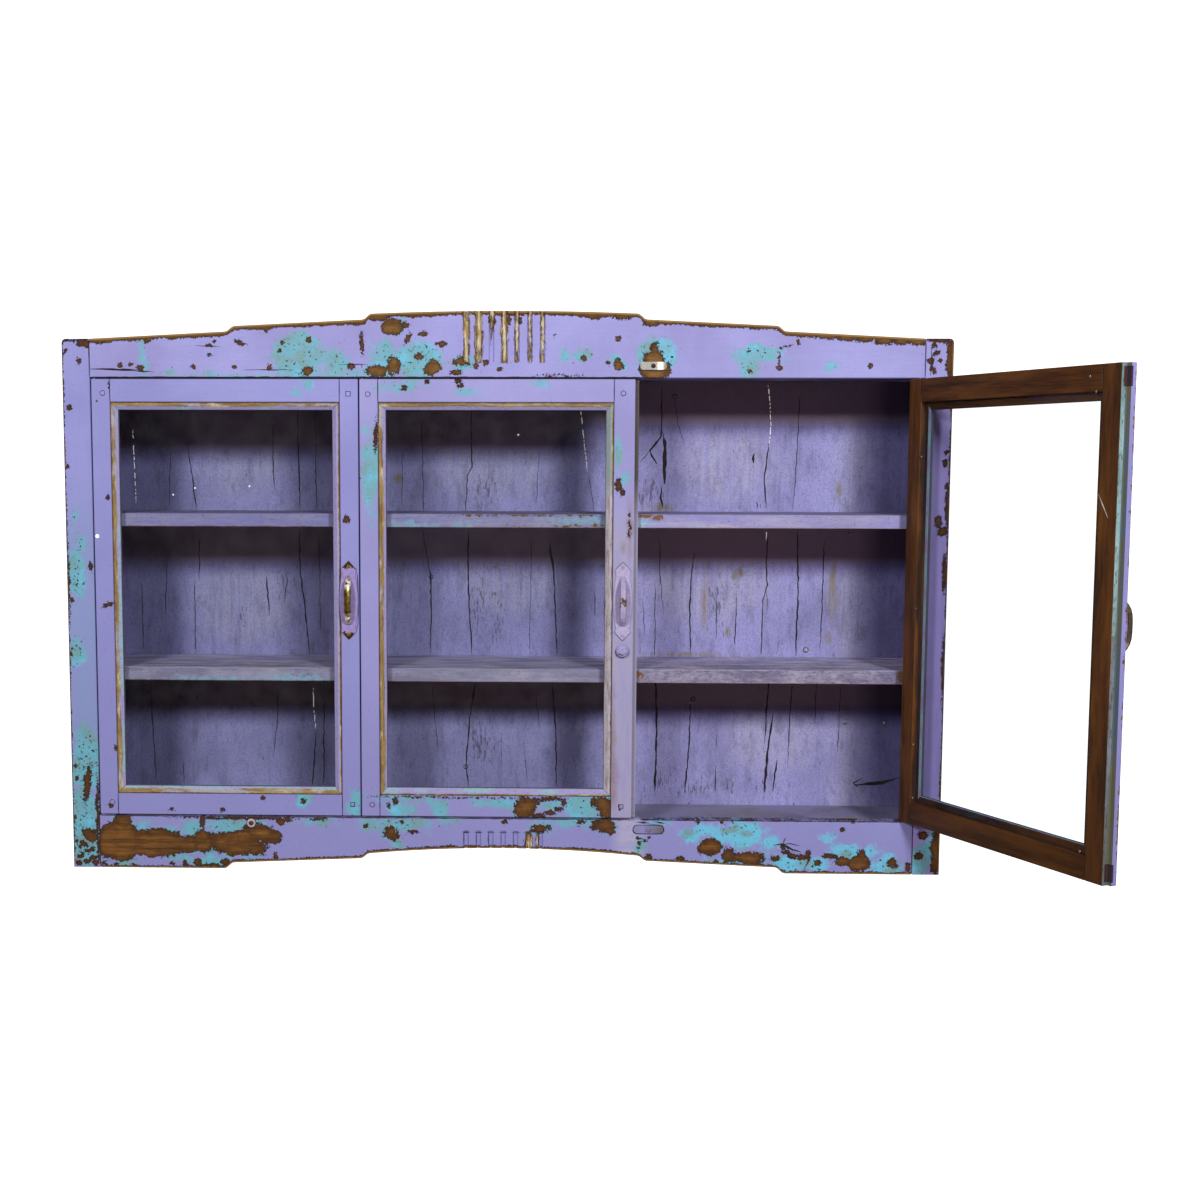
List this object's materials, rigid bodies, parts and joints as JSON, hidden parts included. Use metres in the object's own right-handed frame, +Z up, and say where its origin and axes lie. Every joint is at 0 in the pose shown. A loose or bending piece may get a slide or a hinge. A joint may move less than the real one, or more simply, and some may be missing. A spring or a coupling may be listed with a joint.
{
  "type": "glazed wall cabinet",
  "caption": "Shallow wooden wall cabinet with a stepped pediment, fixed shelves, a boarded back and pivot-hung glazed doors with bow pulls.",
  "frame": {"origin": "on the wall plane at the back face of the middle back board, on the cabinet's centre line, at the middle of the door height", "axes": "+X to the cabinet's right, +Y into the wall, +Z up"},
  "size_m": [1.3552, 0.5381, 0.779],
  "materials": {
    "frame_paint": "old lilac paint over turquoise, chipped to bare wood",
    "inner_paint": "thin lilac paint, stained and cracked",
    "door_paint": "old lilac paint outside, bare brown wood inside",
    "bead_paint": "paint worn through to light blue and yellow wood",
    "button_paint": "painted over",
    "window_glass": "clear window glass",
    "pull_brass": "worn cast brass with paint left on the plate",
    "painted_metal": "painted over with the door",
    "steel": "dull, with bright worn spots"
  },
  "bodies": {
    "cabinet": {"pediment_rail": "frame_paint", "base_rail": "frame_paint", "left_stile": "frame_paint", "right_stile": "frame_paint", "left_side": "frame_paint", "right_side": "frame_paint", "top_board": "inner_paint", "bottom_board": "inner_paint", "upper_shelf": "inner_paint", "lower_shelf": "inner_paint", "back_board_1": "inner_paint", "back_board_2": "inner_paint", "back_board_3": "inner_paint", "back_board_4": "inner_paint", "back_board_5": "inner_paint", "back_board_6": "inner_paint", "back_board_7": "inner_paint", "left_door_top_pin": "steel", "left_door_bottom_pin": "steel", "middle_door_top_pin": "steel", "middle_door_bottom_pin": "steel", "right_door_top_pin": "steel", "right_door_bottom_pin": "steel", "top_keep": "steel", "turn_button_screw": "steel"},
    "left_door": {"left_door_hinge_stile": "door_paint", "left_door_meeting_stile": "door_paint", "left_door_top_rail": "door_paint", "left_door_bottom_rail": "door_paint", "left_door_hinge_bead": "bead_paint", "left_door_meeting_bead": "bead_paint", "left_door_top_bead": "bead_paint", "left_door_bottom_bead": "bead_paint", "left_door_glass": "window_glass", "left_door_pull": "pull_brass"},
    "middle_door": {"middle_door_hinge_stile": "door_paint", "middle_door_meeting_stile": "door_paint", "middle_door_top_rail": "door_paint", "middle_door_bottom_rail": "door_paint", "middle_door_hinge_bead": "bead_paint", "middle_door_meeting_bead": "bead_paint", "middle_door_top_bead": "bead_paint", "middle_door_bottom_bead": "bead_paint", "middle_door_glass": "window_glass", "middle_door_pull": "painted_metal", "middle_door_knob": "painted_metal"},
    "right_door": {"right_door_hinge_stile": "door_paint", "right_door_meeting_stile": "door_paint", "right_door_top_rail": "door_paint", "right_door_bottom_rail": "door_paint", "right_door_hinge_bead": "bead_paint", "right_door_meeting_bead": "bead_paint", "right_door_top_bead": "bead_paint", "right_door_bottom_bead": "bead_paint", "right_door_glass": "window_glass", "right_door_pull": "pull_brass"},
    "turn_button": {"turn_button": "button_paint"}
  },
  "joints": [
    {"name": "left_door_swing", "type": "hinge", "parent": "cabinet", "child": "left_door", "pos_m": [-0.5662, -0.1868, 0], "axis": [0, 0, -1], "range_deg": [0, 118]},
    {"name": "middle_door_swing", "type": "hinge", "parent": "cabinet", "child": "middle_door", "pos_m": [-0.1953, -0.1868, 0], "axis": [0, 0, -1], "range_deg": [0, 105]},
    {"name": "right_door_swing", "type": "hinge", "parent": "cabinet", "child": "right_door", "pos_m": [0.5662, -0.1868, 0], "axis": [0, 0, 1], "range_deg": [-115, 5]},
    {"name": "turn_button_spin", "type": "hinge", "parent": "cabinet", "child": "turn_button", "pos_m": [0.2035, -0.19, -0.32], "axis": [0, 1, 0], "range_deg": [-90, 90]}
  ]
}
